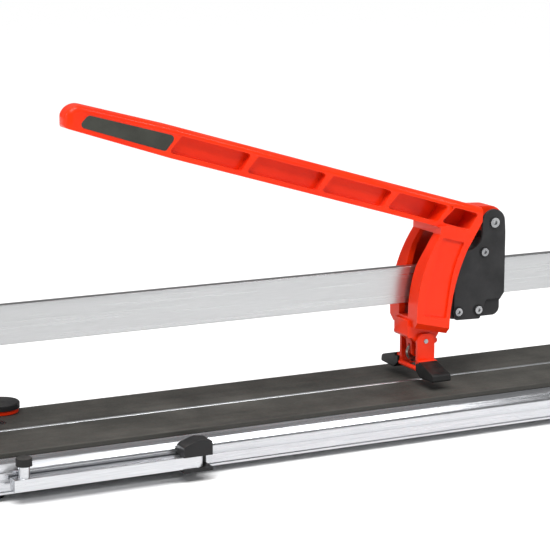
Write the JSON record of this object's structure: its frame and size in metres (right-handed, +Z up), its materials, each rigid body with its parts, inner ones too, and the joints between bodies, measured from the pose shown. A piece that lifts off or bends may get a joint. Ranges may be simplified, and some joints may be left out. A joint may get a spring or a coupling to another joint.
{
  "type": "tile cutter",
  "caption": "Manual tile cutter: aluminium bed with rubber mats, flat steel guide rail, rolling carriage, long scoring and breaking lever, swing-out supports and angle fence.",
  "frame": {"origin": "under the middle of the bed, on the bench it stands on", "axes": "+X along the guide rail towards the far end, +Y to the back, +Z up"},
  "size_m": [1.1, 0.214, 0.371],
  "materials": {
    "red_paint": "gloss orange-red paint on cast aluminium",
    "bright_aluminium": "bright anodised extrusion",
    "brushed_steel": "brushed along its length",
    "bearing_steel": "ground",
    "zinc_steel": "bright zinc plate",
    "carbide": "ground carbide",
    "black_plate": "fine-textured matt black paint",
    "black_plastic": "moulded",
    "black_rubber": "moulded",
    "grip_rubber": "fine matt texture",
    "mat_rubber": "matt, fine ribs"
  },
  "bodies": {
    "bed": {"bed_frame": "bright_aluminium", "left_end_cap": "black_plastic", "right_end_cap": "black_plastic", "rubber_feet": "black_rubber", "foot_screws": "zinc_steel", "front_mat": "mat_rubber", "rear_mat": "mat_rubber", "breaking_ridge": "bright_aluminium", "mat_studs": "zinc_steel", "guide_rail": "brushed_steel", "left_rail_post": "red_paint", "right_rail_post": "red_paint", "left_bumper": "black_rubber", "right_bumper": "black_rubber", "post_bolts": "zinc_steel", "rail_clamp_bolts": "zinc_steel", "rail_clamp_nuts": "zinc_steel", "arm_pivot_pins": "zinc_steel", "fence_pivot_bolt": "zinc_steel", "front_left_arm_bracket": "black_plastic", "rear_left_arm_bracket": "black_plastic", "front_right_arm_bracket": "black_plastic", "rear_right_arm_bracket": "black_plastic"},
    "carriage": {"carriage_front_plate": "black_plate", "carriage_rear_plate": "black_plate", "carriage_core": "black_plastic", "roller_bolts": "zinc_steel", "pivot_bolt": "zinc_steel", "pivot_nut": "zinc_steel"},
    "upper_roller": {"upper_roller": "bearing_steel"},
    "lower_left_roller": {"lower_left_roller": "bearing_steel"},
    "lower_right_roller": {"lower_right_roller": "bearing_steel"},
    "lever": {"lever_arm": "red_paint", "front_grip_inlay": "grip_rubber", "rear_grip_inlay": "grip_rubber", "front_pivot_bush": "black_plastic", "rear_pivot_bush": "black_plastic", "lever_return_spring": "bearing_steel", "wheel_axle": "zinc_steel", "breaker_pin": "zinc_steel"},
    "scoring_wheel": {"scoring_wheel": "carbide"},
    "breaker_foot": {"breaker_fork": "red_paint", "front_breaker_pad": "black_rubber", "rear_breaker_pad": "black_rubber"},
    "fence": {"fence_arm": "red_paint", "fence_rule": "bright_aluminium"},
    "fence_knob": {"fence_knob": "black_plastic"},
    "front_left_arm": {"front_left_support_arm": "bright_aluminium", "front_left_arm_pad": "black_rubber"},
    "rear_left_arm": {"rear_left_support_arm": "bright_aluminium", "rear_left_arm_pad": "black_rubber"},
    "front_right_arm": {"front_right_support_arm": "bright_aluminium", "front_right_arm_pad": "black_rubber"},
    "rear_right_arm": {"rear_right_support_arm": "bright_aluminium", "rear_right_arm_pad": "black_rubber"}
  },
  "joints": [
    {"name": "carriage_slide", "type": "slide", "parent": "bed", "child": "carriage", "axis": [1, 0, 0], "range_m": [-0.395, 0.36]},
    {"name": "lever_tilt", "type": "hinge", "parent": "carriage", "child": "lever", "pos_m": [0.112, 0, 0.22], "axis": [0, -1, 0], "range_deg": [-7.5, 6], "stiffness_Nm_per_rad": 5, "springref_deg": -20.05},
    {"name": "upper_roller_spin", "type": "hinge", "parent": "carriage", "child": "upper_roller", "pos_m": [0.1, 0, 0.18805], "axis": [0, 1, 0], "range_deg": [-1950, 1950]},
    {"name": "lower_left_roller_spin", "type": "hinge", "parent": "carriage", "child": "lower_left_roller", "pos_m": [0.068, 0, 0.12395], "axis": [0, 1, 0], "range_deg": [-1950, 1950]},
    {"name": "lower_right_roller_spin", "type": "hinge", "parent": "carriage", "child": "lower_right_roller", "pos_m": [0.0934, 0, 0.12395], "axis": [0, 1, 0], "range_deg": [-1950, 1950]},
    {"name": "foot_swing", "type": "hinge", "parent": "lever", "child": "breaker_foot", "pos_m": [0.03, 0, 0.094], "axis": [0, -1, 0], "range_deg": [-20, 70]},
    {"name": "wheel_spin", "type": "hinge", "parent": "lever", "child": "scoring_wheel", "pos_m": [0.027, 0, 0.079], "axis": [0, 1, 0], "continuous": true},
    {"name": "fence_swing", "type": "hinge", "parent": "bed", "child": "fence", "pos_m": [-0.426, 0.07, 0.05], "axis": [0, 0, 1], "range_deg": [0, 90]},
    {"name": "fence_knob_turn", "type": "hinge", "parent": "bed", "child": "fence_knob", "pos_m": [-0.426, 0.07, 0.056], "axis": [0, 0, 1], "range_deg": [-180, 180]},
    {"name": "front_left_arm_swing", "type": "hinge", "parent": "bed", "child": "front_left_arm", "pos_m": [-0.28, -0.098, 0.021], "axis": [0, 0, 1], "range_deg": [0, 90]},
    {"name": "rear_left_arm_swing", "type": "hinge", "parent": "bed", "child": "rear_left_arm", "pos_m": [-0.28, 0.098, 0.021], "axis": [0, 0, -1], "range_deg": [0, 90]},
    {"name": "front_right_arm_swing", "type": "hinge", "parent": "bed", "child": "front_right_arm", "pos_m": [0.28, -0.098, 0.021], "axis": [0, 0, -1], "range_deg": [0, 90]},
    {"name": "rear_right_arm_swing", "type": "hinge", "parent": "bed", "child": "rear_right_arm", "pos_m": [0.28, 0.098, 0.021], "axis": [0, 0, 1], "range_deg": [0, 90]}
  ],
  "couplings": [
    {"joint": "upper_roller_spin", "follows": "carriage_slide", "rad_per_m": 83.333},
    {"joint": "lower_left_roller_spin", "follows": "carriage_slide", "rad_per_m": -83.333},
    {"joint": "lower_right_roller_spin", "follows": "carriage_slide", "rad_per_m": -83.333}
  ]
}
